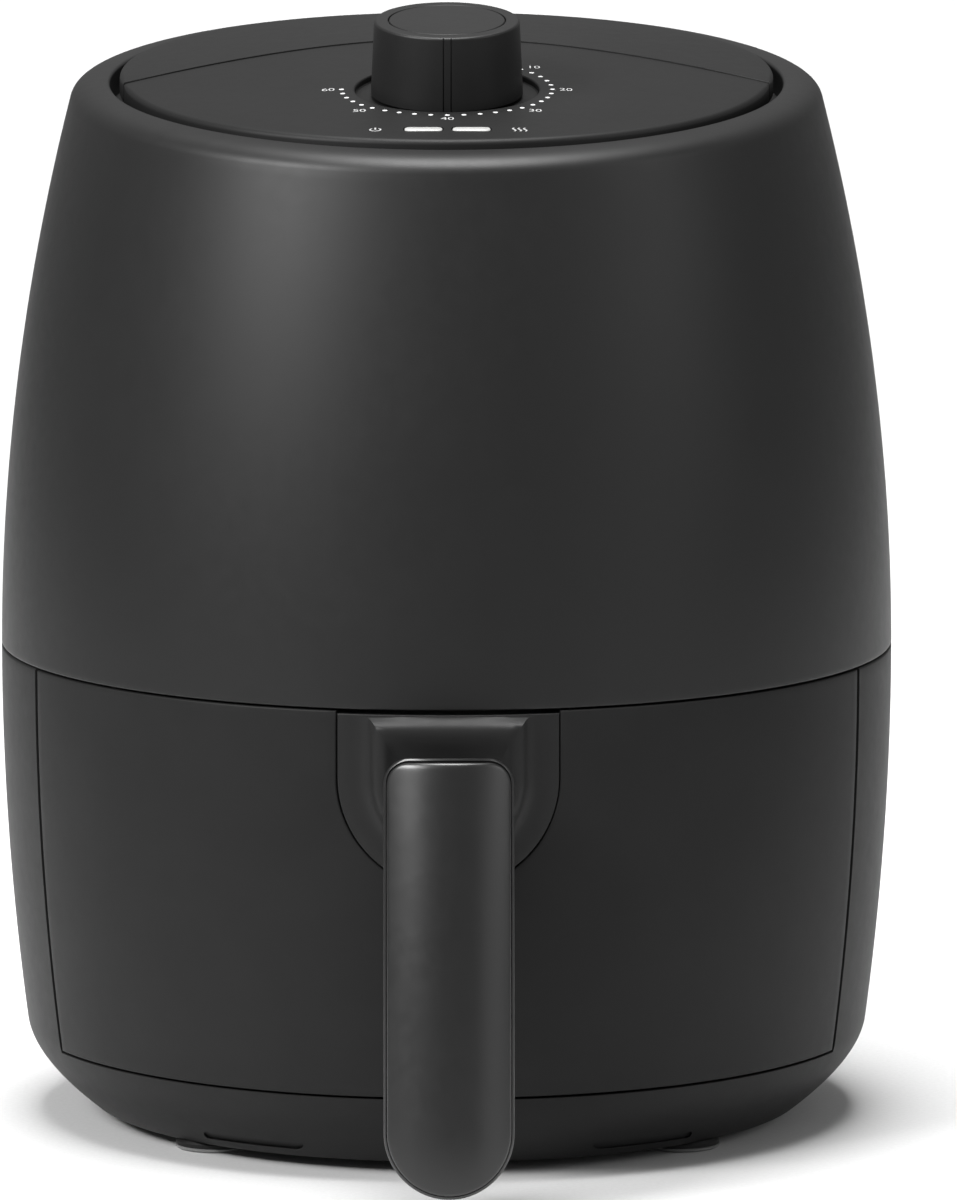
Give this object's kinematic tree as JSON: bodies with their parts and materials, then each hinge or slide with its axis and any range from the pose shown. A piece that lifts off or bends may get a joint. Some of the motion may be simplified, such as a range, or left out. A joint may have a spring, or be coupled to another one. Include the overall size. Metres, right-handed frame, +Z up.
{
  "type": "air fryer",
  "caption": "Compact barrel-shaped air fryer with a pull-out pan and handle, a lift-out crisper tray, a tilted top panel and a round mechanical timer dial.",
  "frame": {"origin": "on the floor plane under the middle of the bounding box; the barrel axis is vertical and 20 mm behind it (+Y)", "axes": "+Z up, -Y towards the front where the handle and dial are, +X to the right as seen from the front"},
  "size_m": [0.215, 0.255, 0.2711],
  "materials": {
    "body_black": "fine satin texture",
    "drawer_black": "fine satin texture",
    "panel_grey": "fine matte texture",
    "handle_black": "soft satin texture",
    "knob_black": "soft satin texture",
    "base_black": "matte",
    "foot_rubber": "translucent grey",
    "gland_rubber": "matte",
    "tray_silicone": "matte",
    "lens_silver": "frosted light",
    "lamp_glass": "clear neon lamp",
    "white_plastic": "moulded",
    "switch_plastic": "moulded",
    "cable_jacket": "braided sleeve",
    "zinc_steel": "zinc plated",
    "sheet_steel": "galvanised sheet",
    "shaft_steel": "ground",
    "element_steel": "oxidised tube",
    "motor_laminations": "stacked laminations",
    "coil_wrap": "tape-wrapped winding",
    "bush_brass": "turned",
    "fan_aluminium": "pressed sheet",
    "pan_coating": "non-stick coating"
  },
  "bodies": {
    "housing": {"lower_housing": "body_black", "upper_housing": "body_black", "base_plate": "base_black", "feet": "foot_rubber", "base_screws": "zinc_steel", "housing_screws": "zinc_steel", "control_panel": "panel_grey", "top_cover": "panel_grey", "power_light_lens": "lens_silver", "heat_light_lens": "lens_silver", "indicator_lamps": "lamp_glass", "lamp_holder": "white_plastic", "timer_body": "sheet_steel", "timer_plate": "sheet_steel", "timer_bell": "sheet_steel", "timer_screws": "zinc_steel", "chamber_liner": "sheet_steel", "heat_reflector": "sheet_steel", "heat_shield": "sheet_steel", "heating_element": "element_steel", "element_brackets": "sheet_steel", "exhaust_duct": "base_black", "exhaust_grille": "base_black", "motor_stack": "motor_laminations", "motor_coil": "coil_wrap", "motor_brackets": "sheet_steel", "motor_bushes": "bush_brass", "motor_standoffs": "zinc_steel", "thermostat": "switch_plastic", "thermal_fuse": "sheet_steel", "terminal_block": "white_plastic", "wiring_loom": "cable_jacket", "cord_gland": "gland_rubber", "pan_rails": "base_black", "door_switch": "switch_plastic"},
    "drawer": {"drawer_front": "drawer_black", "drawer_inner": "drawer_black", "pan": "pan_coating", "pan_bracket": "sheet_steel", "bracket_screws": "zinc_steel", "handle_plate": "handle_black", "handle_grip": "handle_black", "grip_cover": "handle_black", "handle_screws": "zinc_steel"},
    "tray": {"crisper_tray": "pan_coating", "tray_feet": "tray_silicone"},
    "dial": {"timer_knob": "knob_black", "knob_cap": "knob_black", "pointer_strip": "knob_black", "timer_shaft": "shaft_steel"},
    "fans": {"motor_shaft": "shaft_steel", "motor_rotor": "motor_laminations", "cooling_fan": "white_plastic", "convection_fan": "fan_aluminium", "fan_nut": "zinc_steel"},
    "plunger": {"switch_plunger": "switch_plastic"}
  },
  "joints": [
    {"name": "drawer_slide", "type": "slide", "parent": "housing", "child": "drawer", "axis": [0, -1, 0], "range_m": [0, 0.19]},
    {"name": "tray_lift", "type": "slide", "parent": "drawer", "child": "tray", "axis": [0, 0, 1], "range_m": [0, 0.07]},
    {"name": "dial_turn", "type": "hinge", "parent": "housing", "child": "dial", "pos_m": [0, -0.011, 0.25225], "axis": [0, -0.1425, 0.9898], "range_deg": [-90, 180]},
    {"name": "fan_spin", "type": "hinge", "parent": "housing", "child": "fans", "pos_m": [0, 0.02, 0.19], "axis": [0, 0, 1], "continuous": true},
    {"name": "door_switch_press", "type": "slide", "parent": "housing", "child": "plunger", "axis": [0, 1, 0], "range_m": [0, 0.0012], "stiffness_N_per_m": 200, "springref_m": -0.002}
  ]
}
